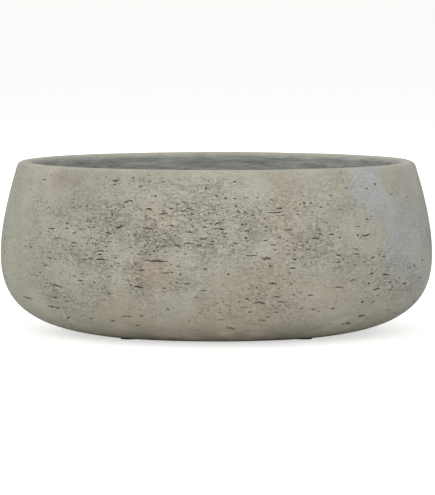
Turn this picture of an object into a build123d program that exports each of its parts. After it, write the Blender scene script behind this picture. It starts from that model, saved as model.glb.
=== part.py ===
from build123d import *
import os

# Wide, low planter bowl cast in one piece from fibre-reinforced stone composite. It stands on four
# rubber pads, and a ribbed rubber bung closes the drain hole in the middle of its floor.
# Millimetres, +Z up. The origin is on the ground, under the centre of the bowl.
# Heights of the bowl are measured from its foot, which the pads lift off the ground.

# Outer side of the bowl: foot, widest level and rim, joined by two curves.
foot_diameter = 270.0
foot_slope = 9.2  # degrees above level, where the side leaves the foot
foot_reach = 53.5  # how far the side keeps that slope before it turns up
belly_diameter = 440.0
belly_height = 77.5
belly_fullness_below = 50.0  # how far the side stays upright under the widest level
belly_fullness_above = 25.5
rim_diameter = 403.0
rim_height = 173.0
rim_lean = 17.2  # degrees inwards from upright
rim_reach = 41.0

# Inner side, with its own thicknesses, so that the wall is thickest at the lip and the floor.
lip_width = 14.5
belly_wall = 12.5
floor_thickness = 14.0
floor_diameter = 236.0
floor_reach = 62.0
inner_belly_rise = 1.5  # widest level inside, above the widest level outside
inner_fullness_below = 41.0
inner_fullness_above = 26.0
lip_outer_round = 6.5
lip_inner_round = 5.0

# Underside: a foot ring round a shallow recess.
foot_ring_width = 24.0
recess_depth = 2.0
foot_edge_round = 1.5

# Drain hole in the floor, with a round seat for the bung's head.
drain_diameter = 20.0
drain_edge_chamfer = 0.8
seat_depth = 1.5
seat_clearance = 1.0

# Drain bung.
bung_head_diameter = 34.0
bung_head_thickness = 3.6
bung_head_round = 1.2
bung_fit_clearance = 0.05  # between the sealing ribs and the hole
bung_rib_depth = 0.9
bung_rib_width = 2.2
bung_rib_crest = 0.8  # flat top of each rib, which meets the hole
bung_rib_count = 3
bung_tip_length = 1.2  # how far the stem shows under the floor
bung_tip_taper = 0.6
bung_core_diameter = 11.0
bung_core_roof = 2.4  # rubber left between the hollow core and the head
grip_width = 17.0
grip_height = 7.5
grip_thickness = 4.2
grip_corner_round = 5.0
grip_edge_round = 0.8
grip_ridge_depth = 0.5
grip_ridge_width = 1.1
grip_ridge_count = 3

# Self-adhesive pads under the foot ring.
pad_diameter = 18.0
pad_thickness = 1.5
pad_edge_round = 0.5
pad_count = 4
first_pad_angle = 45.0

foot_z = pad_thickness
floor_z = foot_z + floor_thickness
rim_z = foot_z + rim_height
recess_z = foot_z + recess_depth
recess_radius = foot_diameter / 2 - foot_ring_width
seat_z = floor_z - seat_depth
drain_radius = drain_diameter / 2


def side_curves(foot, slope, reach, belly, below, above, rim, lean, rim_run):
    """Two curves from the foot point up to the rim point. They meet upright at the belly."""
    leave_foot = Vector(1, 0).rotate(Axis.Z, slope) * reach
    reach_rim = Vector(0, 1).rotate(Axis.Z, lean) * rim_run
    lower = Bezier(foot, Vector(*foot) + leave_foot, (belly[0], belly[1] - below), belly)
    upper = Bezier(belly, (belly[0], belly[1] + above), Vector(*rim) - reach_rim, rim)
    return lower, upper


def round_corner(section, x, y, radius):
    """The section with its corner at (x, y) rounded."""
    return fillet(section.vertices().sort_by_distance((x, y))[0], radius)


def bowl_section():
    """Half section of the bowl in the XZ plane, with its lip and foot rounded."""
    foot_radius = foot_diameter / 2
    belly_radius = belly_diameter / 2
    rim_radius = rim_diameter / 2
    belly_z = foot_z + belly_height
    outside = side_curves(
        (foot_radius, foot_z), foot_slope, foot_reach,
        (belly_radius, belly_z), belly_fullness_below, belly_fullness_above,
        (rim_radius, rim_z), rim_lean, rim_reach,
    )
    inside = side_curves(
        (floor_diameter / 2, floor_z), 0, floor_reach,
        (belly_radius - belly_wall, belly_z + inner_belly_rise),
        inner_fullness_below, inner_fullness_above,
        (rim_radius - lip_width, rim_z), rim_lean, rim_reach,
    )
    underside = Polyline(
        (0, floor_z), (0, recess_z), (recess_radius, recess_z),
        (recess_radius, foot_z), (foot_radius, foot_z),
    )
    lip = Line((rim_radius, rim_z), (rim_radius - lip_width, rim_z))
    floor = Line((floor_diameter / 2, floor_z), (0, floor_z))
    section = make_face(Curve() + [underside, *outside, lip, *inside, floor])
    section = round_corner(section, rim_radius, rim_z, lip_outer_round)
    section = round_corner(section, rim_radius - lip_width, rim_z, lip_inner_round)
    return Plane.XZ * round_corner(section, foot_radius, foot_z, foot_edge_round)


def rings_at(part, height):
    """Circular edges of the part at one height, from the smallest to the largest."""
    rings = part.edges().filter_by(GeomType.CIRCLE).filter_by_position(Axis.Z, height, height)
    return rings.sort_by(SortBy.RADIUS)


def upright_cylinder(radius, bottom, top):
    """Cylinder round the Z axis, between two heights."""
    standing = (Align.CENTER, Align.CENTER, Align.MIN)
    return Pos(0, 0, bottom) * Cylinder(radius, top - bottom, align=standing)


def bowl():
    """The cast bowl: one revolved wall, with the bung's seat and the drain cut through its floor."""
    body = revolve(bowl_section(), Axis.Z)
    body -= upright_cylinder(bung_head_diameter / 2 + seat_clearance, seat_z, floor_z)
    body -= upright_cylinder(drain_radius, recess_z, seat_z)
    drain_mouths = rings_at(body, seat_z)[:1] + rings_at(body, recess_z)[:1]
    return chamfer(drain_mouths, drain_edge_chamfer)


def bung_stem():
    """Revolved stem with sealing ribs, which just fit the drain hole, and a tapered tip."""
    rib_radius = drain_radius - bung_fit_clearance
    stem_radius = rib_radius - bung_rib_depth
    tip_z = recess_z - bung_tip_length
    rib_pitch = (seat_z - recess_z) / bung_rib_count
    tip_radius = stem_radius - bung_tip_taper
    profile = [(0, tip_z), (tip_radius, tip_z), (stem_radius, tip_z + bung_tip_taper)]
    for rib in range(bung_rib_count):
        rib_z = recess_z + rib_pitch * (rib + 0.5)
        profile += [
            (stem_radius, rib_z - bung_rib_width / 2),
            (rib_radius, rib_z - bung_rib_crest / 2),
            (rib_radius, rib_z + bung_rib_crest / 2),
            (stem_radius, rib_z + bung_rib_width / 2),
        ]
    profile += [(stem_radius, seat_z), (0, seat_z)]
    return revolve(Plane.XZ * make_face(Polyline(*profile, close=True)), Axis.Z)


def bung_grip(head_top):
    """Upright tab on the bung's head, with rounded corners and ridges for finger and thumb."""
    sketch = Rectangle(grip_width, grip_height, align=(Align.CENTER, Align.MIN))
    sketch = fillet(sketch.vertices().group_by(Axis.Y)[-1], grip_corner_round)
    tab = extrude(Plane.XZ * sketch, grip_thickness / 2, both=True)
    outline = tab.faces().group_by(Axis.Y)[0].edges() + tab.faces().group_by(Axis.Y)[-1].edges()
    tab = fillet(outline.filter_by_position(Axis.Z, grip_edge_round, grip_height), grip_edge_round)
    ridge_pitch = (grip_height - grip_edge_round) / (grip_ridge_count + 1)
    ridge_length = grip_width - 2 * grip_corner_round
    for ridge in range(grip_ridge_count):
        for side in (-1, 1):
            bar = Rot(0, 90, 0) * Cylinder(grip_ridge_width / 2, ridge_length)
            proud = grip_thickness / 2 + grip_ridge_depth - grip_ridge_width / 2
            tab += Pos(0, side * proud, ridge_pitch * (ridge + 1)) * bar
    return Pos(0, 0, head_top) * tab


def bung():
    """Rubber drain bung: head on its seat, ribbed stem in the hole, hollow core, grip on top."""
    head_top = seat_z + bung_head_thickness
    head = upright_cylinder(bung_head_diameter / 2, seat_z, head_top)
    head = fillet(rings_at(head, head_top), bung_head_round)
    core = upright_cylinder(bung_core_diameter / 2, recess_z - bung_tip_length, seat_z - bung_core_roof)
    return head + bung_stem() + bung_grip(head_top) - core


def pad(angle):
    """One floor pad, stuck to the middle of the foot ring."""
    disc = upright_cylinder(pad_diameter / 2, 0, pad_thickness)
    disc = fillet(rings_at(disc, 0), pad_edge_round)
    ring_middle = foot_diameter / 2 - foot_ring_width / 2
    return Rot(0, 0, angle) * Pos(ring_middle, 0, 0) * disc


def parts():
    """Every piece of the planter, by the name of its node."""
    pieces = {"bowl": bowl(), "drain_bung": bung()}
    for index in range(pad_count):
        pieces[f"floor_pad_{index + 1}"] = pad(first_pad_angle + 360 / pad_count * index)
    return pieces


os.makedirs("parts", exist_ok=True)
for name, piece in parts().items():
    export_step(piece, f"parts/{name}.step")
    print(name, "volume", round(piece.volume), "mm3")
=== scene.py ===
import bisect
import math
import random

import bmesh
import bpy
from mathutils import Matrix, Vector, kdtree, noise


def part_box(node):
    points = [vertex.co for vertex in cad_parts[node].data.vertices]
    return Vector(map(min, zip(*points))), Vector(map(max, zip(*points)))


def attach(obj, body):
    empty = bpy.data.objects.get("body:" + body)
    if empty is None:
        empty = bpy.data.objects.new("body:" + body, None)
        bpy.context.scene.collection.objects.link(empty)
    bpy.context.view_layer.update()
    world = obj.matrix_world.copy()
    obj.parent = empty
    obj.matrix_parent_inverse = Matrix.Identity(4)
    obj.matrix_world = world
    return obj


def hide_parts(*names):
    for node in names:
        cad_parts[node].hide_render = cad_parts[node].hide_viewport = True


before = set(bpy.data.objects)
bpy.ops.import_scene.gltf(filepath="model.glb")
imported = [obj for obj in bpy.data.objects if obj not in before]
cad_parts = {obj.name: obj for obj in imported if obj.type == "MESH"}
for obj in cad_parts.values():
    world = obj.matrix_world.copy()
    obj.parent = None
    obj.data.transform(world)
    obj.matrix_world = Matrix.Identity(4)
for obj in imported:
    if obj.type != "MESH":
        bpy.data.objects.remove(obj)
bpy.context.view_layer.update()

mm = 0.001
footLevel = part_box("bowl")[0].z  # the pads lift the bowl's foot this much off the ground


def linearColor(hexCode):  # sRGB hex to the linear values that a shader takes
    parts = [int(hexCode[i:i + 2], 16) / 255 for i in (0, 2, 4)]
    return [c / 12.92 if c <= 0.04045 else ((c + 0.055) / 1.055) ** 2.4 for c in parts] + [1.0]


# A colour mix takes its share at socket 0, and its two colours at 6 and 7

def addNode(tree, kind, inputs, **settings):  # an input is a value, a socket, or a node for its output
    node = tree.nodes.new(kind)
    for name, value in settings.items():
        setattr(node, name, value)
    for socket, value in inputs.items():
        if isinstance(value, bpy.types.Node):
            value = next(s for s in value.outputs if s.enabled)
        if isinstance(value, bpy.types.NodeSocket):
            tree.links.new(value, node.inputs[socket])
        else:
            node.inputs[socket].default_value = value
    return node


def newMaterial(name):
    material = bpy.data.materials.new(name)
    material.use_nodes = True
    material.node_tree.nodes.clear()
    return material, material.node_tree


# Camera: a long lens from the front, a little above the rim

view = {
    "distance": 4.40,       # metres from the bowl's axis
    "height": 0.3837,       # above the ground
    "tiltDown": 3.875,      # degrees
    "sideStep": 0.0011,     # puts the bowl a little left of the middle
    "lens": 314.6,          # mm
    "sensor": 36.0,         # mm
    "clipEnd": 200.0,       # past the far edge of the floor
}


def makeCamera():
    data = bpy.data.cameras.new("photoCamera")
    data.lens = view["lens"]
    data.sensor_width = view["sensor"]
    data.clip_end = view["clipEnd"]
    camera = bpy.data.objects.new("photoCamera", data)
    camera.location = (view["sideStep"], -view["distance"], view["height"])
    camera.rotation_euler = (math.radians(90 - view["tiltDown"]), 0, 0)
    bpy.context.scene.collection.objects.link(camera)
    bpy.context.scene.camera = camera
    print("camera placed")


# Stage: a white paper floor, and large soft lamps all round. The floor is matte and keeps the bowl's shadow.
# It looks white to the camera alone, so it throws no more light on the bowl than real paper would

stage = {
    "floorSize": 120.0,
    "floorColor": "F4F4F2",
    "floorGlow": 0.6,           # what the paper adds to its lit white before the camera
    "worldStrength": 0.40,
    "aim": (0, 0, 0.1),
    "key": {"power": 50.0, "size": 2.0, "place": (-0.2, -3.8, 1.05)},
    "top": {"power": 36.0, "size": 1.6, "place": (-0.2, -0.9, 3.0)},
    "left": {"power": 30.0, "size": 2.4, "place": (-3.2, 0.8, 1.3)},
    "right": {"power": 18.0, "size": 2.4, "place": (3.2, 0.4, 1.3)},
    "back": {"power": 16.0, "size": 2.4, "place": (0.3, 3.8, 1.2)},
}


def makeStage():
    bm = bmesh.new()
    bmesh.ops.create_grid(bm, x_segments=1, y_segments=1, size=stage["floorSize"] / 2)
    mesh = bpy.data.meshes.new("studioFloor")
    bm.to_mesh(mesh)
    bm.free()
    floor = bpy.data.objects.new("studioFloor", mesh)
    bpy.context.scene.collection.objects.link(floor)
    paper, tree = newMaterial("whitePaper")
    rays = addNode(tree, "ShaderNodeLightPath", {})
    lit = addNode(tree, "ShaderNodeBsdfDiffuse", {"Color": linearColor(stage["floorColor"])})
    strength = addNode(
        tree, "ShaderNodeMath", {0: rays.outputs["Is Camera Ray"], 1: stage["floorGlow"]},
        operation="MULTIPLY",
    )
    glow = addNode(tree, "ShaderNodeEmission", {"Color": (1, 1, 1, 1), "Strength": strength})
    both = addNode(tree, "ShaderNodeAddShader", {0: lit, 1: glow})
    addNode(tree, "ShaderNodeOutputMaterial", {"Surface": both})
    mesh.materials.append(paper)

    world = bpy.data.worlds.new("studioWorld")
    world.use_nodes = True
    background = world.node_tree.nodes["Background"]
    background.inputs["Color"].default_value = (1, 1, 1, 1)
    background.inputs["Strength"].default_value = stage["worldStrength"]
    bpy.context.scene.world = world

    for name in ("key", "top", "left", "right", "back"):
        data = bpy.data.lights.new(name + "Light", "AREA")
        data.shape = "DISK"
        data.size = stage[name]["size"]
        data.energy = stage[name]["power"]
        lamp = bpy.data.objects.new(name + "Light", data)
        lamp.location = stage[name]["place"]
        aim = Vector(stage["aim"]) - lamp.location
        lamp.rotation_euler = aim.to_track_quat("-Z", "Y").to_euler()
        bpy.context.scene.collection.objects.link(lamp)
    print("stage lit")


# Bowl: one casting, turned from a closed section. Millimetres from the axis and above the foot

bowl = {
    "foot": (135.0, 0.0), "footSlope": 9.2, "footReach": 53.5, "footEdgeRound": 1.5,
    "belly": (220.0, 77.5), "fullBelow": 50.0, "fullAbove": 25.5,
    "rim": (201.5, 173.0), "rimLean": 17.2, "rimReach": 41.0,
    "lipWidth": 14.5, "lipOuterRound": 6.5, "lipInnerRound": 5.0,
    "innerBelly": (207.5, 79.0), "innerBelow": 41.0, "innerAbove": 26.0,
    "floor": (118.0, 14.0), "floorReach": 62.0,
    "seatRadius": 18.0, "seatDepth": 1.5, "drainRadius": 10.0, "drainChamfer": 0.8,
    "recessRadius": 111.0, "recessDepth": 2.0,
    "curveSteps": 18, "turnSteps": 256,
    "lipSteps": 8, "footSteps": 3,
    # how far a hand-finished side falls short of true, over what length, and between which levels it starts
    "unevenness": 0.35, "unevenSize": 55.0, "unevenStart": (4.0, 24.0),
    "lipFrom": 168.5,
    "sameAs": 0.005,                             # points this near are merged
    "sharpOver": 35.0,                           # degrees between two faces
}

# Fissures left where the face was washed out. Azimuth in degrees from the front, the rest in mm

fissures = {
    # azimuth, level, length and height, as they look from the front
    "placed": [
        (-46.7, 57, 11, 2.2), (-48.5, 44, 5, 1.6), (-44, 41, 5, 1.4), (-51, 33, 12, 2.0), (-63, 40, 9, 2.0),
        (-35.2, 116, 3.5, 1.6), (-33.6, 116, 3, 1.6), (-43, 119, 3, 2.2), (-26, 117, 7, 2.4),
        (-24.6, 114, 4, 1.4), (-29, 111, 6, 1.5), (-24, 142, 9, 1.5), (-28.5, 130, 3.5, 1.6),
        (-22, 92.5, 3, 1.4), (-20, 92, 3, 1.2), (-31, 85, 8, 1.8), (-50.3, 76, 3, 1.3), (-48.5, 84, 4, 1.2),
        (-52.5, 68, 3, 1.4), (-38.5, 24, 4, 1.6), (-31, 23, 4, 1.6), (-21, 29, 4, 1.5), (-25.5, 28, 10, 1.4),
        (-51, 14, 4, 1.2), (-23.5, 19, 8, 1.4), (-24, 76, 3, 1.2), (-15.4, 85.2, 20, 1.9),
        (-10, 100.5, 5, 1.6), (-4.3, 100.5, 5, 1.5), (-7, 103, 9, 1.2), (-9.7, 80, 3.5, 1.6),
        (-2.8, 78, 3, 1.5), (3, 73, 3, 1.4), (-7.5, 64, 7, 1.2), (-5.2, 50, 5, 1.2), (-13, 38, 2.6, 2.2),
        (-13.7, 11, 6, 1.2), (4.2, 16, 9, 1.8), (-16.5, 148, 2.2, 1.8), (-21, 157, 2.5, 1.4),
        (-6.4, 131.5, 2.2, 2.2), (-9, 134, 4, 1.8), (-8.6, 131, 6, 1.6), (0, 148.5, 3, 1.6),
        (-18, 117, 9, 1.3), (0.4, 122, 6, 1.8), (-12, 136, 3, 1.4), (-6.8, 114, 8, 1.3), (0.5, 117, 12, 1.4),
        (2, 113, 6, 1.4), (-3.5, 107, 5, 1.6), (5, 162, 2.2, 1.8), (-2.8, 155, 2.2, 1.8),
        (2.4, 146, 2.4, 1.6), (5.2, 139, 2.2, 1.8), (5.7, 132, 2.6, 2.4), (15.5, 132, 14, 1.1),
        (17, 136, 4, 1.3), (8, 115, 6, 1.2), (13, 118, 3, 1.3), (13, 115, 3, 1.2), (19, 115.5, 6, 1.4),
        (16.5, 108, 3, 1.3), (7.6, 108, 2.2, 1.8), (12.7, 106, 4, 1.3), (5, 103, 4, 1.4),
        (24, 140.5, 2.2, 1.9), (26, 140.5, 2.0, 1.7), (28.8, 136, 3, 1.4), (23.8, 103, 3.5, 1.2),
        (23.9, 101, 3, 1.1), (26.5, 106, 7, 1.4), (26.2, 103.5, 6, 1.2), (24, 96, 4, 1.3),
        (27.8, 110, 2, 1.6), (31.2, 109.5, 5, 1.3), (33.7, 106, 2, 1.6), (18.5, 92, 3.5, 1.3),
        (15, 97, 3, 1.2), (20.3, 96, 2.4, 1.6), (9, 91, 10, 1.2), (12.8, 88, 8, 2.4), (13.8, 80.5, 2.4, 1.8),
        (19.7, 78, 5.5, 1.3), (19, 73, 2, 1.6), (14.6, 63.5, 6.5, 1.8), (11.4, 44, 10.5, 2.2),
        (8, 48, 3.5, 2.2), (17, 44.5, 8, 1.4), (9, 35, 2.6, 2.2), (14.2, 29, 5, 1.4), (12.8, 26, 8, 1.3),
        (16.3, 34, 4, 1.3), (10.7, 13, 11, 1.3), (25.1, 50, 6, 1.4), (22.3, 53, 3, 1.3), (23.3, 37, 2.4, 1.8),
        (33.2, 35.5, 4.5, 1.8), (33.7, 57, 8, 1.6), (33, 82.5, 4, 1.4), (33, 77, 4, 1.2),
        (33.3, 42, 2.2, 1.8), (32.5, 147, 2.2, 1.8), (37, 168, 2.2, 1.6), (38, 153, 2.2, 1.6),
        (43.8, 123, 2.4, 2.2), (45.5, 152, 2.4, 1.6), (49.3, 156, 2.2, 1.8), (40, 116, 4, 1.2),
        (39.7, 108, 2.2, 2.4), (42.5, 107, 8, 1.6), (38.5, 94.5, 5, 1.4), (38.8, 89.5, 6, 1.3),
        (44.5, 85, 3, 1.6), (38.3, 79, 3, 1.3), (44.2, 69.5, 4, 2.0), (49.7, 67, 8, 1.6),
        (52, 58.5, 2.8, 2.4), (55, 59, 2, 1.5), (59.5, 56.5, 2.2, 4.0), (61.2, 71.5, 2.2, 1.4),
        (64.2, 73, 2.0, 3.2), (70.3, 76.5, 2.4, 1.8), (69, 59, 2.0, 3.0), (47, 40, 2.6, 2.0),
        (42.7, 41, 3, 2.0), (46, 25, 5.5, 3.2), (42.5, 17, 9, 2.6), (73, 34, 4, 2.6), (57, 28, 3, 1.8),
        (46.8, 53, 7, 1.6), (50, 22, 3, 1.6), (36, 18, 5, 1.4), (62, 33, 3, 1.8),
    ],
    # where the wash opened the face: azimuth, level, half width in degrees, half height, share
    "openAreas": [
        (-38, 100, 20, 38, 0.7), (-27, 95, 12, 30, 0.35), (-8, 122, 18, 32, 0.8), (8, 118, 14, 26, 0.45),
        (28, 105, 11, 32, 0.42), (36, 84, 6, 12, 0.5), (47, 66, 9, 14, 0.6), (-46, 40, 8, 20, 0.9),
        (12, 42, 12, 14, 0.6), (-22, 62, 16, 16, 0.3), (-24, 163, 10, 5, 0.35), (-2, 161, 16, 7, 0.35),
        (62, 58, 10, 18, 0.4), (95, 95, 22, 30, 0.5), (135, 112, 26, 34, 0.8), (180, 80, 26, 32, 0.6),
        (-140, 108, 28, 36, 0.8), (-95, 85, 20, 34, 0.4), (160, 36, 16, 16, 0.4), (-120, 38, 14, 16, 0.4),
    ],
    "everywhere": 0.10,                         # share outside these areas
    "topLevel": 168, "topFade": 6,              # none from this level up, and fewer this far under it
    # they come in patches: middle and swing of the share, and how fast it changes round the bowl and up
    "patchMiddle": 0.6, "patchSwing": 1.3, "patchReach": 7, "patchHeight": 18,
    # share of the scattered ones, length, height, depth as a share of the height
    "kinds": [(0.6, (1.2, 2.4), (1.0, 1.8), (0.6, 1.4)), (0.33, (2.4, 6.0), (1.0, 1.9), (0.6, 1.3)),
              (0.07, (6.0, 11.0), (1.3, 2.4), (0.7, 1.2))],
    "shortBias": 1.5,                           # over 1, more of them are short
    "tallest": 0.85,                            # greatest height, as a share of the length
    "drawnOut": 1.2,                            # factor on the placed lengths and heights, for the thin ends
    "leastShown": 0.5,                          # share of one that shows on the turn of the side
    "placedDepth": (1.1, 1.6), "placedDepthTo": 1.7, "placedTilt": 5,
    "seed": 11, "clusters": 820, "clusterSize": (1, 6), "clusterSpread": (6.0, 3.0),
    "lowestCluster": 6,                         # along the side from the foot
    "sideEnds": (5.0, 4.0),                     # face left whole over the foot and under the lip
    "shortTilt": 16, "longTilt": 6,             # degrees off level
    "room": 0.7,                                # stone left between two of them
    "stackShare": 0.85,                         # of their two heights, kept between their levels
    # each is a drawn-out ball of a few facets, bent, pinched and roughened along its length
    "shortUnder": 2.4, "shortFacets": 5, "longFacets": 7, "ringPitch": 0.75, "rings": (3, 18),
    "bendLength": 1.9, "bend": 0.7, "swell": 0.5, "pinchLength": 1.6, "pinchOver": 3.0, "pinchLeast": 0.6,
    "roughLength": 0.8, "roughAcross": 1.5, "rough": 0.6,
    "buried": 0.15,                             # share of the depth that its middle lies under the face
}


def sectionCorners():  # each corner of the section with its handles, where a curve meets it
    rim, innerBelly, floor = Vector(bowl["rim"]), Vector(bowl["innerBelly"]), Vector(bowl["floor"])
    foot, belly = Vector(bowl["foot"]), Vector(bowl["belly"])
    innerRim = rim - Vector((bowl["lipWidth"], 0))
    slope, lean = math.radians(bowl["footSlope"]), math.radians(bowl["rimLean"])
    leaveFoot = bowl["footReach"] * Vector((math.cos(slope), math.sin(slope)))
    reachRim = bowl["rimReach"] * Vector((-math.sin(lean), math.cos(lean)))
    seat = floor.y - bowl["seatDepth"]
    drain, edge, recess = bowl["drainRadius"], bowl["drainChamfer"], bowl["recessDepth"]
    return [
        (foot, None, foot + leaveFoot),
        (belly, belly - Vector((0, bowl["fullBelow"])), belly + Vector((0, bowl["fullAbove"]))),
        (rim, rim - reachRim, None),
        (innerRim, None, innerRim - reachRim),
        (innerBelly, innerBelly + Vector((0, bowl["innerAbove"])),
         innerBelly - Vector((0, bowl["innerBelow"]))),
        (floor, floor + Vector((bowl["floorReach"], 0)), None),
        (Vector((bowl["seatRadius"], floor.y)), None, None),
        (Vector((bowl["seatRadius"], seat)), None, None),
        (Vector((drain + edge, seat)), None, None),
        (Vector((drain, seat - edge)), None, None),
        (Vector((drain, recess + edge)), None, None),
        (Vector((drain + edge, recess)), None, None),
        (Vector((bowl["recessRadius"], recess)), None, None),
        (Vector((bowl["recessRadius"], 0)), None, None),
    ]


def onSection(point):  # from the section's millimetres to the model's metres
    return Vector((point[0] * mm, 0, point[1] * mm + footLevel))


def bowlWire():  # the section as a closed wire
    curve = bpy.data.curves.new("bowlSection", "CURVE")
    curve.dimensions = "3D"
    spline = curve.splines.new("BEZIER")
    corners = sectionCorners()
    spline.bezier_points.add(len(corners) - 1)
    spline.resolution_u = bowl["curveSteps"]
    spline.use_cyclic_u = True
    for knot, (place, before, after) in zip(spline.bezier_points, corners):
        knot.co = onSection(place)
        knot.handle_left_type = "FREE" if before else "VECTOR"
        knot.handle_right_type = "FREE" if after else "VECTOR"
        if before:
            knot.handle_left = onSection(before)
        if after:
            knot.handle_right = onSection(after)
    holder = bpy.data.objects.new("bowlSection", curve)
    bpy.context.scene.collection.objects.link(holder)
    bpy.context.view_layer.update()
    wire = bpy.data.meshes.new_from_object(holder)
    bpy.data.objects.remove(holder)
    return wire


def roundCorner(bm, corner, radius, opening, steps):  # opening is the angle between the two sides, in degrees
    corner = onSection(corner)
    reach = radius * mm / math.tan(math.radians(opening / 2))
    # the curve's own points that the rounding takes in
    near = [v for v in bm.verts if 1e-6 < (v.co - corner).length < 1.2 * reach]
    bmesh.ops.dissolve_verts(bm, verts=near)
    at = min(bm.verts, key=lambda v: (v.co - corner).length)
    bmesh.ops.bevel(
        bm, geom=[at], offset=reach, offset_type="OFFSET", segments=steps, profile=0.5, affect="VERTICES",
        material=-1,
    )


def walkWire(bm):  # the wire's points in mm, from the top of the lip out and down, under, and up the inside
    top = Vector(bowl["rim"]) - Vector((bowl["lipWidth"] / 2, 0))
    start = min(bm.verts, key=lambda v: (v.co - onSection(top)).length)
    edge = max(start.link_edges, key=lambda e: e.other_vert(start).co.x)
    line, vert = [], start
    while not line or vert is not start:
        line.append(Vector((vert.co.x / mm, (vert.co.z - footLevel) / mm)))
        vert = edge.other_vert(vert)
        edge = next(e for e in vert.link_edges if e is not edge)
    return line


def unevenAt(place):  # how far the side lies inside its true curve here, in mm
    low, high = bowl["unevenStart"]
    share = min(max(((place.z - footLevel) / mm - low) / (high - low), 0), 1)
    return bowl["unevenness"] * share * (0.5 + 0.5 * noise.noise(place / (bowl["unevenSize"] * mm)))


def outerSide(line):  # the outer side from the foot up to the lip, as (distance along it, point)
    foot = next(i for i, p in enumerate(line) if p.y < bowl["footEdgeRound"] + 0.01)
    points, along, side = line[:foot + 1][::-1], 0.0, []
    for i, point in enumerate(points):
        along += (point - points[i - 1]).length if i else 0
        side.append((along, point))
    return side


def onSide(side, along):  # the point and the upward direction at a distance along the side
    i = min(max(bisect.bisect(side, along, key=lambda s: s[0]), 1), len(side) - 1)
    (a, low), (b, high) = side[i - 1], side[i]
    return low.lerp(high, (along - a) / (b - a)), (high - low).normalized()


def openness(azimuth, level):  # how many fissures the face has here, from none to 1
    near = [
        share
        * math.exp(-((azimuth - at + 180) % 360 - 180) ** 2 / wide ** 2 - (level - mid) ** 2 / tall ** 2)
        for at, mid, wide, tall, share in fissures["openAreas"]
    ]
    underTop = min(max((fissures["topLevel"] - level) / fissures["topFade"], 0), 1)
    return (fissures["everywhere"] + sum(near)) * underTop


def addFissure(whole, side, azimuth, along, length, height, depth, tilt, seed):
    point, up = onSide(side, along)
    turn = math.radians(azimuth)
    outward = Vector((math.sin(turn), -math.cos(turn), 0))
    level = Vector((math.cos(turn), math.sin(turn), 0))
    rise = outward * up.x + Vector((0, 0, up.y))
    normal = outward * up.y - Vector((0, 0, up.x))
    place = outward * point.x * mm + Vector((0, 0, point.y * mm + footLevel))
    place -= normal * unevenAt(place) * mm
    turned = Matrix.Rotation(tilt, 3, "Z")
    facets = fissures["shortFacets"] if length < fissures["shortUnder"] else fissures["longFacets"]
    fewest, most = fissures["rings"]
    rings = min(max(round(length / fissures["ringPitch"]), fewest), most)
    bm = bmesh.new()
    bmesh.ops.create_uvsphere(bm, u_segments=facets, v_segments=rings, radius=1)
    for vert in bm.verts:
        run = vert.co.z * length / 2
        # each reads the noise at a place of its own, so no two fissures are alike
        bend = noise.noise(Vector((run / fissures["bendLength"], seed + 0.37, 3.6)))
        swell = noise.noise(Vector((run / fissures["bendLength"], seed + 0.37, 6.2)))
        pinch = 1.0
        if length > fissures["pinchOver"]:
            pinch = abs(noise.noise(Vector((run / fissures["pinchLength"], seed, 9))))
            pinch += fissures["pinchLeast"]
        around = vert.co.x * fissures["roughAcross"]
        ragged = noise.noise(Vector((run / fissures["roughLength"], around, seed + 50)))
        lift = vert.co.x * height / 2 * pinch * (1 + fissures["rough"] * ragged)
        lift += fissures["bend"] * height * bend
        sink = vert.co.y * depth * (1 + fissures["swell"] * swell) - fissures["buried"] * depth
        across = turned @ Vector((run, lift, 0))
        vert.co = place + (level * across.x + rise * across.y + normal * sink) * mm
    mesh = bpy.data.meshes.new("oneFissure")
    bm.to_mesh(mesh)
    bm.free()
    whole.from_mesh(mesh)
    bpy.data.meshes.remove(mesh)


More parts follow.
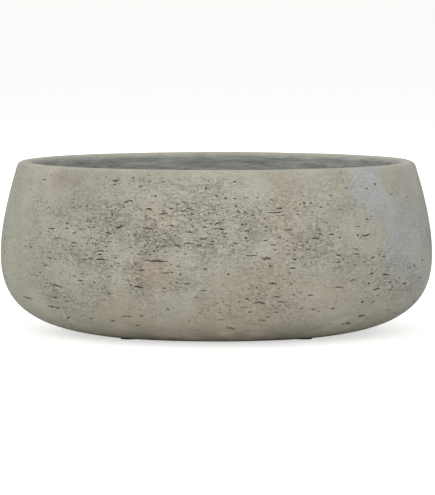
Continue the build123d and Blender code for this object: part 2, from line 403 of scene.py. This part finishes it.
def fissureCutters(side):  # every fissure as one mesh that is taken out of the bowl
    rng = random.Random(fissures["seed"])
    taken, pitch = {}, 20                       # where they are, by squares of this many mm

    def isClear(azimuth, along, length, height):
        x = math.radians(azimuth) * onSide(side, along)[0].x
        square = (round(x / pitch), round(along / pitch))
        for i in (-1, 0, 1):
            for j in (-1, 0, 1):
                for ox, oy, ol, oh in taken.get((square[0] + i, square[1] + j), []):
                    if abs(x - ox) < (length + ol) / 2 + fissures["room"]:
                        if abs(along - oy) < (height + oh) * fissures["stackShare"] + fissures["room"] / 2:
                            return False
        taken.setdefault(square, []).append((x, along, length, height))
        return True

    bm = bmesh.new()
    count = 0
    for azimuth, level, length, height in fissures["placed"]:
        along = next(a for a, p in side if p.y >= level - 0.01)
        along -= onSide(side, along)[0].y - level
        # those on the turn of the side are longer and taller than they look
        length *= fissures["drawnOut"] / max(math.cos(math.radians(azimuth)), fissures["leastShown"])
        height *= fissures["drawnOut"] / max(onSide(side, along)[1].y, fissures["leastShown"])
        if isClear(azimuth, along, length, height):
            depth = rng.uniform(*fissures["placedDepth"]) * min(height, fissures["placedDepthTo"])
            tilt = math.radians(rng.gauss(0, fissures["placedTilt"]))
            addFissure(bm, side, azimuth, along, length, height, depth, tilt, count)
            count += 1
    placedCount = count
    clusters = 0
    while clusters < fissures["clusters"]:
        azimuth, along = rng.uniform(-180, 180), rng.uniform(fissures["lowestCluster"], side[-1][0])
        radius, level = onSide(side, along)[0]
        turn = math.radians(azimuth)
        reach = fissures["patchReach"]
        spot = Vector((math.sin(turn) * reach, math.cos(turn) * reach, level / fissures["patchHeight"]))
        patchy = fissures["patchMiddle"] + fissures["patchSwing"] * noise.noise(spot)
        if rng.random() > openness(azimuth, level) * patchy * radius / bowl["belly"][0]:
            continue
        clusters += 1
        for _ in range(rng.randint(*fissures["clusterSize"])):
            beside = azimuth + math.degrees(rng.gauss(0, fissures["clusterSpread"][0]) / radius)
            above = along + rng.gauss(0, fissures["clusterSpread"][1])
            above = min(max(above, fissures["sideEnds"][0]), side[-1][0] - fissures["sideEnds"][1])
            kind = rng.choices(fissures["kinds"], [k[0] for k in fissures["kinds"]])[0]
            lengths, heights, depths = kind[1:]
            length = lengths[0] + (lengths[1] - lengths[0]) * rng.random() ** fissures["shortBias"]
            height = min(rng.uniform(*heights), fissures["tallest"] * length)
            if isClear(beside, above, length, height):
                depth = rng.uniform(*depths) * height
                spread = fissures["shortTilt"] if length < fissures["pinchOver"] else fissures["longTilt"]
                tilt = math.radians(rng.gauss(0, spread))
                addFissure(bm, side, beside, above, length, height, depth, tilt, count)
                count += 1
    bmesh.ops.recalc_face_normals(bm, faces=bm.faces)
    mesh = bpy.data.meshes.new("fissureCutters")
    bm.to_mesh(mesh)
    bm.free()
    cutters = bpy.data.objects.new("fissureCutters", mesh)
    bpy.context.scene.collection.objects.link(cutters)
    print("fissures:", placedCount, "placed and", count - placedCount, "scattered")
    return cutters


def markFinish(mesh, line):  # mm past the top of the lip, mm into the wall, and how open the face is
    total = sum((b - a).length for a, b in zip(line, line[1:] + line[:1]))
    ringEdge = next(i for i, p in enumerate(line) if abs(p.x - bowl["recessRadius"]) < 0.01)
    along, run = [], 0.0
    for i, point in enumerate(line):
        run += (point - line[i - 1]).length if i else 0
        along.append(-run if i <= ringEdge else total - run)
    tree = kdtree.KDTree(len(line))
    for i, point in enumerate(line):
        tree.insert((point.x, point.y, 0), i)
    tree.balance()
    pastLip = mesh.attributes.new("pastLip", "FLOAT", "POINT")
    intoWall = mesh.attributes.new("intoWall", "FLOAT", "POINT")
    openShare = mesh.attributes.new("openShare", "FLOAT", "POINT")
    for vert in mesh.vertices:
        here = Vector((math.hypot(vert.co.x, vert.co.y) / mm, (vert.co.z - footLevel) / mm))
        i = tree.find((here.x, here.y, 0))[1]
        best = None
        for j in (i - 1, i):
            a, b = line[j], line[(j + 1) % len(line)]
            t = min(max((here - a).dot(b - a) / (b - a).length_squared, 0), 1)
            away = (here - a.lerp(b, t)).length
            if best is None or away < best[0]:
                best = away, j, t
        away, j, t = best
        first, second = along[j], along[(j + 1) % len(line)]
        if abs(second - first) > total / 2:     # the jump under the foot, where the two runs meet
            second = first
        pastLip.data[vert.index].value = first + (second - first) * t
        deep = away - unevenAt(vert.co)
        intoWall.data[vert.index].value = max(deep, 0) if along[j] < 0 else 0
        azimuth = math.degrees(math.atan2(vert.co.x, -vert.co.y))
        openShare.data[vert.index].value = min(openness(azimuth, here.y), 1)


def makeBowl():
    bm = bmesh.new()
    bm.from_mesh(bowlWire())
    rim, lean = Vector(bowl["rim"]), bowl["rimLean"]
    roundCorner(bm, rim, bowl["lipOuterRound"], 90 + lean, bowl["lipSteps"])
    roundCorner(bm, rim - Vector((bowl["lipWidth"], 0)), bowl["lipInnerRound"], 90 - lean, bowl["lipSteps"])
    roundCorner(bm, bowl["foot"], bowl["footEdgeRound"], 180 - bowl["footSlope"], bowl["footSteps"])
    line = walkWire(bm)
    bmesh.ops.spin(
        bm, geom=bm.verts[:] + bm.edges[:], cent=(0, 0, 0), axis=(0, 0, 1), angle=2 * math.pi,
        steps=bowl["turnSteps"], use_merge=True,
    )
    bmesh.ops.remove_doubles(bm, verts=bm.verts, dist=bowl["sameAs"] * mm)
    bmesh.ops.recalc_face_normals(bm, faces=bm.faces)
    bm.normal_update()
    lipLevel = footLevel + bowl["lipFrom"] * mm
    for vert in bm.verts:                        # the outer side, and the lip from this level up
        if vert.normal.x * vert.co.x + vert.normal.y * vert.co.y > 0 or vert.co.z > lipLevel:
            vert.co -= vert.normal * unevenAt(vert.co) * mm
    mesh = bpy.data.meshes.new("castBowl")
    bm.to_mesh(mesh)
    bm.free()
    blank = bpy.data.objects.new("castBowl", mesh)
    bpy.context.scene.collection.objects.link(blank)
    cutters = fissureCutters(outerSide(line))
    taking = blank.modifiers.new("openFissures", "BOOLEAN")
    taking.operation = "DIFFERENCE"
    taking.solver = "MANIFOLD"
    taking.object = cutters
    bpy.context.view_layer.update()
    worn = bpy.data.meshes.new_from_object(blank.evaluated_get(bpy.context.evaluated_depsgraph_get()))
    for spare in (blank, cutters):
        bpy.data.objects.remove(spare)
    markFinish(worn, line)
    for face in worn.polygons:
        face.use_smooth = True
    worn.set_sharp_from_angle(angle=math.radians(bowl["sharpOver"]))
    piece = bpy.data.objects.new("stoneBowl", worn)
    bpy.context.scene.collection.objects.link(piece)
    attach(piece, "bowl")
    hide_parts("bowl")
    print("bowl:", sum(len(p.vertices) - 2 for p in worn.polygons), "triangles")
    return piece


# Face: cast stone composite, wiped and washed out by hand, so it is matte, mottled and open-pored.
# Inside: the bare grey cement, floated level with a trowel. Sizes are in mm, and a pair is where a change
# starts and ends

stone = {
    "ground": "AAA699", "groundDeep": "A19D90", "groundPatch": 60.0,
    "hollowShade": "6B6150", "fissureShade": "544A36",         # painted shade: in the pores, furrows and dimples, and at the bottom of a fissure
    "fissureShadeDepths": (0.15, 1.1), "fissureShadeShare": 0.76,
    # painted highlight on the top of the lip
    "lip": "B6B2A4", "lipShare": 0.55, "lipReach": (4.0, 9.0),
    "cement": "878B88", "cementPale": "BDBEB8", "trowelLength": 38.0, "trowelFlatness": 8.0,
    "cementStart": (8.5, 12.5), "cementWaver": 8.0,  # past the top of the lip, and how much the edge wavers
    "tintRadius": 205.0, "tintDepth": 90.0, "tintFade": (0.3, 1.15),
    # where the tint drifts, and where light is painted: azimuth, level, half width and half height, colour,
    # share
    "tintsAndPaintedLight": [
        # the first two lighten the front under the lip and across its middle: painted highlight
        (2, 150, 66, 40, "AFAB9E", 0.75), (0, 100, 50, 34, "AEAA9D", 0.6), (-68, 95, 62, 105, "A1A294", 0.7),
        (31, 120, 26, 62, "ABA999", 0.7), (-47, 162, 26, 11, "97897A", 0.8),
        (-36, 140, 20, 26, "A5A192", 0.6), (-15, 126, 18, 13, "AC9E8E", 0.55),
        (-16, 70, 34, 20, "A19485", 0.7), (-25, 34, 50, 24, "A29686", 0.65), (18, 128, 18, 52, "AEA192", 0.6),
        (12, 66, 60, 22, "A79C8D", 0.65), (6, 32, 72, 26, "A4998A", 0.7), (-12, 38, 24, 15, "A19E92", 0.6),
        (30, 52, 40, 32, "A69F90", 0.6), (47, 152, 34, 38, "A9AAAB", 0.85), (58, 102, 46, 60, "A3A5A4", 0.85),
        # the last two here, and the last two on the next line, lighten the foot: painted light against the
        # shade there; the first on the next line darkens the upper left
        (72, 95, 34, 95, "A5A7A3", 0.8), (0, 4, 150, 26, "B5AC9D", 0.7), (0, -2, 130, 16, "D6CDBB", 0.9),
        (-41, 154, 58, 34, "9A9689", 0.75), (-42, 4, 60, 20, "C2BAA9", 0.7), (42, 4, 60, 22, "C6BFB0", 0.8),
        (110, 130, 60, 40, "A8A69C", 0.7), (135, 60, 60, 34, "A5998A", 0.65),
        (165, 125, 40, 40, "AFA497", 0.5), (-165, 80, 50, 44, "A4A599", 0.7),
        (-130, 130, 46, 36, "B2AEA1", 0.7), (-110, 50, 56, 30, "A49888", 0.65),
    ],
    "driftSize": 34.0, "drift": 46.0,               # how far tint edges wander, and over what length
    "wipeLength": 42.0, "wipeFlatness": 6.0, "blotchSize": 13.0, "grainSize": 1.7,
    "brushRadius": 210.0,
    "strokes": {"azimuth": -44, "level": 150.5, "slant": -35, "length": 26.0, "width": 3.4,
                "fade": (14.0, 62.0)},
    "sweeps": {"azimuth": 46, "level": 126.5, "height": 1.3, "width": 4.2, "waver": 0.2,
               "start": (14.0, 26.0), "end": (44.0, 64.0)},
    "pores": [(3.4, 0.40), (1.9, 0.37)],            # spacing, and the largest one's radius as a share of it
    "poreFlatness": 1.7, "raggedness": 2.6, "openPatch": 30.0,
    "furrowLength": 8.0, "furrowFlatness": 4.5, "dimpleSize": 4.0,
    # how much each layer lightens the colour, how much painted shade lies in it, and how high it stands
    "shadeStart": 0.6, "shading": {"wipes": 0.16, "blotch": 0.18, "grain": 0.5, "brushed": 0.3},
    "hollowShadeIn": {"furrows": 0.1, "dimples": 0.07, "pores": 0.78},
    "relief": {"blotch": 0.35, "grain": 0.5, "pores": -0.8, "furrows": -1.1, "dimples": -1.25,
               "brushed": 0.8},
    "roughness": (0.78, 0.95),
}


def objectMm(tree):  # the piece's own coordinates, in mm
    place = addNode(tree, "ShaderNodeTexCoord", {}).outputs["Object"]
    return addNode(tree, "ShaderNodeVectorMath", {0: place, "Scale": 1 / mm}, operation="SCALE")


def roundSpot(tree, vector, azimuth, level, radius, slant=0, scale=(1, 1, 1)):  # centred on a spot
    turn = math.radians(azimuth)
    return addNode(
        tree, "ShaderNodeMapping",
        {
            "Vector": vector,
            "Location": (radius * math.sin(turn), -radius * math.cos(turn), level + footLevel / mm),
            "Rotation": (0, math.radians(slant), turn), "Scale": scale,
        },
        vector_type="TEXTURE",
    )


def addUp(tree, layers, shares, start=0.0):  # the start and a share of each layer
    total = start
    for name, share in shares.items():
        total = addNode(
            tree, "ShaderNodeMath", {0: layers[name], 1: share, 2: total}, operation="MULTIPLY_ADD",
        )
    return total


def groundWithPaintedLight(tree, inMm, wandering):  # soft patches of tint and of painted light, with wandering edges
    broad = addNode(
        tree, "ShaderNodeTexNoise",
        {"Vector": inMm, "Scale": 1 / stone["groundPatch"], "Detail": 5.0, "Roughness": 0.6},
    )
    share = addNode(tree, "ShaderNodeMapRange", {"Value": broad, "From Min": 0.36, "From Max": 0.66})
    ground = addNode(
        tree, "ShaderNodeMix",
        {0: share, 6: linearColor(stone["ground"]), 7: linearColor(stone["groundDeep"])},
        data_type="RGBA",
    )
    inner, outer = stone["tintFade"]
    for azimuth, level, wide, tall, hexCode, most in stone["tintsAndPaintedLight"]:
        size = (wide, stone["tintDepth"], tall)
        local = roundSpot(tree, wandering, azimuth, level, stone["tintRadius"], scale=size)
        away = addNode(tree, "ShaderNodeVectorMath", {0: local}, operation="LENGTH")
        share = addNode(
            tree, "ShaderNodeMapRange",
            {"Value": away, "From Min": inner, "From Max": outer, "To Min": most, "To Max": 0.0},
            interpolation_type="SMOOTHERSTEP",
        )
        ground = addNode(
            tree, "ShaderNodeMix", {0: share, 6: ground, 7: linearColor(hexCode)}, data_type="RGBA",
        )
    return ground


def brushMarks(tree, inMm, offset):  # slanting strokes on one side, and sweeps round a point on the other
    strokes, sweeps = stone["strokes"], stone["sweeps"]
    local = roundSpot(
        tree, inMm, strokes["azimuth"], strokes["level"], stone["brushRadius"], slant=strokes["slant"],
    )
    away = addNode(tree, "ShaderNodeVectorMath", {0: local}, operation="LENGTH")
    fading = addNode(
        tree, "ShaderNodeMapRange",
        {"Value": away, "From Min": strokes["fade"][0], "From Max": strokes["fade"][1],
         "To Min": 1.0, "To Max": 0.0},
    )
    along, across = 1 / strokes["length"], 1 / strokes["width"]
    thin = addNode(
        tree, "ShaderNodeMapping", {"Vector": local, "Scale": (along, along, across)}, vector_type="POINT",
    )
    lines = addNode(
        tree, "ShaderNodeTexNoise", {"Vector": thin, "Scale": 1.0, "Detail": 3.0, "Roughness": 0.6},
    )
    lines = addNode(tree, "ShaderNodeMath", {0: lines, 1: 0.5}, operation="SUBTRACT")
    lines = addNode(tree, "ShaderNodeMath", {0: lines, 1: fading}, operation="MULTIPLY")

    local = roundSpot(
        tree, inMm, sweeps["azimuth"], sweeps["level"], stone["brushRadius"], scale=(1, 1, sweeps["height"]),
    )
    away = addNode(tree, "ShaderNodeVectorMath", {0: local}, operation="LENGTH")
    ring = addNode(tree, "ShaderNodeMath", {0: offset, 1: sweeps["waver"], 2: away}, operation="MULTIPLY_ADD")
    rings = addNode(
        tree, "ShaderNodeTexNoise",
        {"W": ring, "Scale": 1 / sweeps["width"], "Detail": 3.0, "Roughness": 0.6},
        noise_dimensions="1D",
    )
    rings = addNode(tree, "ShaderNodeMath", {0: rings, 1: 0.5}, operation="SUBTRACT")
    for start, full in (sweeps["end"][::-1], sweeps["start"]):
        share = addNode(
            tree, "ShaderNodeMapRange", {"Value": away, "From Min": start, "From Max": full},
            interpolation_type="SMOOTHSTEP",
        )
        rings = addNode(tree, "ShaderNodeMath", {0: rings, 1: share}, operation="MULTIPLY")
    return addNode(tree, "ShaderNodeMath", {0: lines, 1: rings}, operation="ADD")


def openFace(tree, inMm, wandering, grain):  # pores, furrows and dimples, where the wash opened the face
    opened = addNode(tree, "ShaderNodeAttribute", {}, attribute_name="openShare").outputs["Fac"]
    patchy = addNode(
        tree, "ShaderNodeTexNoise", {"Vector": wandering, "Scale": 1 / stone["openPatch"], "Detail": 4.0},
    )
    patchy = addNode(
        tree, "ShaderNodeMapRange",
        {"Value": patchy, "From Min": 0.34, "From Max": 0.6, "To Min": 0.35, "To Max": 1.0},
    )
    opened = addNode(
        tree, "ShaderNodeMapRange", {"Value": opened, "From Max": 0.8, "To Min": 0.3, "To Max": 0.9},
    )
    opened = addNode(tree, "ShaderNodeMath", {0: opened, 1: patchy}, operation="MULTIPLY")

    ragged = addNode(
        tree, "ShaderNodeVectorMath", {0: grain.outputs["Color"], 1: (0.5, 0.5, 0.5)}, operation="SUBTRACT",
    )
    ragged = addNode(
        tree, "ShaderNodeVectorMath", {0: ragged, "Scale": stone["raggedness"]}, operation="SCALE",
    )
    ragged = addNode(tree, "ShaderNodeVectorMath", {0: inMm, 1: ragged}, operation="ADD")
    flattened = addNode(
        tree, "ShaderNodeMapping", {"Vector": ragged, "Scale": (1, 1, stone["poreFlatness"])},
        vector_type="POINT",
    )
    pores = 0.0
    for spacing, largest in stone["pores"]:
        cells = addNode(tree, "ShaderNodeTexVoronoi", {"Vector": flattened, "Scale": 1 / spacing})
        chance = addNode(tree, "ShaderNodeSeparateColor", {0: cells.outputs["Color"]}).outputs["Red"]
        size = addNode(
            tree, "ShaderNodeMapRange",
            {"Value": chance, "From Min": 0.25, "From Max": 1.0, "To Min": -0.05, "To Max": largest},
        )
        size = addNode(tree, "ShaderNodeMath", {0: size, 1: opened}, operation="MULTIPLY")
        inside = addNode(
            tree, "ShaderNodeMath", {0: size, 1: cells.outputs["Distance"]}, operation="SUBTRACT",
        )
        pore = addNode(tree, "ShaderNodeMapRange", {"Value": inside, "From Min": -0.02, "From Max": 0.05})
        pores = addNode(tree, "ShaderNodeMath", {0: pores, 1: pore}, operation="MAXIMUM")

    stretched = addNode(
        tree, "ShaderNodeMapping", {"Vector": inMm, "Scale": (1, 1, stone["furrowFlatness"])},
        vector_type="POINT",
    )
    furrows = addNode(
        tree, "ShaderNodeTexNoise",
        {"Vector": stretched, "Scale": 1 / stone["furrowLength"], "Detail": 2.5, "Roughness": 0.6,
         "Distortion": 0.4},
    )
    furrows = addNode(tree, "ShaderNodeMapRange", {"Value": furrows, "From Min": 0.54, "From Max": 0.68})
    furrows = addNode(tree, "ShaderNodeMath", {0: furrows, 1: opened}, operation="MULTIPLY")
    dimples = addNode(
        tree, "ShaderNodeTexNoise",
        {"Vector": flattened, "Scale": 1 / stone["dimpleSize"], "Detail": 3.0, "Roughness": 0.65},
    )
    dimples = addNode(tree, "ShaderNodeMapRange", {"Value": dimples, "From Min": 0.5, "From Max": 0.36})
    dimples = addNode(tree, "ShaderNodeMath", {0: dimples, 1: opened}, operation="MULTIPLY")
    return {"pores": pores, "furrows": furrows, "dimples": dimples}


def floatedCement(tree, inMm, offset):  # level trowel marks
    pulled = addNode(
        tree, "ShaderNodeVectorMath", {0: offset, 1: (0.3, 0.3, 0.12), 2: inMm}, operation="MULTIPLY_ADD",
    )
    pulled = addNode(
        tree, "ShaderNodeMapping", {"Vector": pulled, "Scale": (1, 1, stone["trowelFlatness"])},
        vector_type="POINT",
    )
    trowel = addNode(
        tree, "ShaderNodeTexNoise",
        {"Vector": pulled, "Scale": 1 / stone["trowelLength"], "Detail": 6.0, "Roughness": 0.72},
    )
    share = addNode(tree, "ShaderNodeMapRange", {"Value": trowel, "From Min": 0.34, "From Max": 0.64})
    return addNode(
        tree, "ShaderNodeMix",
        {0: share, 6: linearColor(stone["cement"]), 7: linearColor(stone["cementPale"])},
        data_type="RGBA",
    )


def castStone():
    material, tree = newMaterial("washedCastStone")
    inMm = objectMm(tree)
    drift = addNode(
        tree, "ShaderNodeTexNoise",
        {"Vector": inMm, "Scale": 1 / stone["driftSize"], "Detail": 4.0, "Roughness": 0.6},
    )
    offset = addNode(
        tree, "ShaderNodeVectorMath", {0: drift.outputs["Color"], 1: (0.5, 0.5, 0.5)}, operation="SUBTRACT",
    )
    offset = addNode(tree, "ShaderNodeVectorMath", {0: offset, "Scale": stone["drift"]}, operation="SCALE")
    wandering = addNode(tree, "ShaderNodeVectorMath", {0: inMm, 1: offset}, operation="ADD")

    # fine unevenness: level wipe marks, cloudy blotches and grain
    levelled = addNode(
        tree, "ShaderNodeMapping", {"Vector": inMm, "Scale": (1, 1, stone["wipeFlatness"])},
        vector_type="POINT",
    )
    wipes = addNode(
        tree, "ShaderNodeTexNoise",
        {"Vector": levelled, "Scale": 1 / stone["wipeLength"], "Detail": 4.0, "Roughness": 0.65},
    )
    blotch = addNode(
        tree, "ShaderNodeTexNoise",
        {"Vector": inMm, "Scale": 1 / stone["blotchSize"], "Detail": 5.0, "Roughness": 0.65},
    )
    grain = addNode(
        tree, "ShaderNodeTexNoise", {"Vector": inMm, "Scale": 1 / stone["grainSize"], "Detail": 2.0},
    )
    layers = {"wipes": wipes, "blotch": blotch, "grain": grain, "brushed": brushMarks(tree, inMm, offset)}
    layers.update(openFace(tree, inMm, wandering, grain))

    # the face, from the ground up: shading, then painted shade in what is open, then painted shade in the
    # fissures and a painted highlight on the lip
    shade = addUp(tree, layers, stone["shading"], stone["shadeStart"])
    face = addNode(
        tree, "ShaderNodeVectorMath", {0: groundWithPaintedLight(tree, inMm, wandering), "Scale": shade},
        operation="SCALE",
    )
    # painted shade in the pores, furrows and dimples, which are bump only
    hollowShadeShare = addUp(tree, layers, stone["hollowShadeIn"])
    face = addNode(
        tree, "ShaderNodeMix", {0: hollowShadeShare, 6: face, 7: linearColor(stone["hollowShade"])},
        data_type="RGBA", clamp_factor=True,
    )
    # painted shade at the bottom of a fissure, darker the deeper it goes into the wall
    intoWall = addNode(tree, "ShaderNodeAttribute", {}, attribute_name="intoWall").outputs["Fac"]
    shallow, deep = stone["fissureShadeDepths"]
    share = addNode(
        tree, "ShaderNodeMapRange",
        {"Value": intoWall, "From Min": shallow, "From Max": deep, "To Max": stone["fissureShadeShare"]},
    )
    face = addNode(
        tree, "ShaderNodeMix", {0: share, 6: face, 7: linearColor(stone["fissureShade"])}, data_type="RGBA",
    )
    # painted highlight: the lip lighter near its top
    pastLip = addNode(tree, "ShaderNodeAttribute", {}, attribute_name="pastLip").outputs["Fac"]
    offLip = addNode(tree, "ShaderNodeMath", {0: pastLip}, operation="ABSOLUTE")
    inner, outer = stone["lipReach"]
    share = addNode(
        tree, "ShaderNodeMapRange",
        {"Value": offLip, "From Min": inner, "From Max": outer, "To Min": stone["lipShare"], "To Max": 0.0},
    )
    face = addNode(tree, "ShaderNodeMix", {0: share, 6: face, 7: linearColor(stone["lip"])}, data_type="RGBA")

    # past the lip, the cement
    edge = addNode(
        tree, "ShaderNodeMath", {0: blotch, 1: stone["cementWaver"], 2: pastLip}, operation="MULTIPLY_ADD",
    )
    start, full = stone["cementStart"]
    share = addNode(
        tree, "ShaderNodeMapRange", {"Value": edge, "From Min": start, "From Max": full},
        interpolation_type="SMOOTHSTEP",
    )
    color = addNode(
        tree, "ShaderNodeMix", {0: share, 6: face, 7: floatedCement(tree, inMm, offset)}, data_type="RGBA",
    )
    height = addUp(tree, layers, stone["relief"])
    bump = addNode(tree, "ShaderNodeBump", {"Height": height, "Strength": 1.0, "Distance": mm})
    least, most = stone["roughness"]
    rough = addNode(tree, "ShaderNodeMapRange", {"Value": blotch, "To Min": least, "To Max": most})
    surface = addNode(
        tree, "ShaderNodeBsdfPrincipled",
        {"Base Color": color, "Roughness": rough, "Normal": bump, "IOR": 1.5},
    )
    addNode(tree, "ShaderNodeOutputMaterial", {"Surface": surface})
    return material


# Bung and pads: soft black rubber, pressed in a mould that was blasted to a fine grain, so it is matte and a
# little grey where it is handled, with stone dust from the bowl caught in the grain

rubber = {
    "nodes": ("drain_bung", "floor_pad_1", "floor_pad_2", "floor_pad_3", "floor_pad_4"),
    "black": "2E2E2F", "worn": "424241", "dust": "7A776C",
    "grainSize": 0.45, "wornPatch": 7.0, "dustPatch": 2.6,  # mm
    "dustShare": 0.5, "grainHeight": 0.05, "wornHeight": 0.06,
    "roughness": (0.62, 0.9),                       # clean, and where the dust is thickest
}


def mouldedRubber():
    material, tree = newMaterial("mouldedRubber")
    inMm = objectMm(tree)
    wear = addNode(
        tree, "ShaderNodeTexNoise", {"Vector": inMm, "Scale": 1 / rubber["wornPatch"], "Detail": 4.0},
    )
    wear = addNode(tree, "ShaderNodeMapRange", {"Value": wear, "From Min": 0.35, "From Max": 0.68})
    color = addNode(
        tree, "ShaderNodeMix", {0: wear, 6: linearColor(rubber["black"]), 7: linearColor(rubber["worn"])},
        data_type="RGBA",
    )
    patches = addNode(
        tree, "ShaderNodeTexNoise",
        {"Vector": inMm, "Scale": 1 / rubber["dustPatch"], "Detail": 6.0, "Roughness": 0.75},
    )
    dusty = addNode(
        tree, "ShaderNodeMapRange",
        {"Value": patches, "From Min": 0.5, "From Max": 0.72, "To Max": rubber["dustShare"]},
    )
    color = addNode(
        tree, "ShaderNodeMix", {0: dusty, 6: color, 7: linearColor(rubber["dust"])}, data_type="RGBA",
    )
    grain = addNode(
        tree, "ShaderNodeTexVoronoi", {"Vector": inMm, "Scale": 1 / rubber["grainSize"]}, feature="SMOOTH_F1",
    )
    shares = {"grain": rubber["grainHeight"], "wear": rubber["wornHeight"]}
    height = addUp(tree, {"grain": grain, "wear": wear}, shares)
    bump = addNode(tree, "ShaderNodeBump", {"Height": height, "Strength": 1.0, "Distance": mm})
    clean, dulled = rubber["roughness"]
    rough = addNode(
        tree, "ShaderNodeMapRange",
        {"Value": dusty, "From Max": rubber["dustShare"], "To Min": clean, "To Max": dulled},
    )
    surface = addNode(
        tree, "ShaderNodeBsdfPrincipled",
        {"Base Color": color, "Roughness": rough, "Normal": bump, "IOR": 1.52},
    )
    addNode(tree, "ShaderNodeOutputMaterial", {"Surface": surface})
    return material


makeCamera()
makeStage()
stoneBowl = makeBowl()
stoneBowl.data.materials.clear()
stoneBowl.data.materials.append(castStone())
blackRubber = mouldedRubber()
for name in rubber["nodes"]:
    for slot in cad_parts[name].material_slots:
        slot.material = blackRubber
print("materials made")

bpy.context.scene.view_settings.view_transform = "Standard"
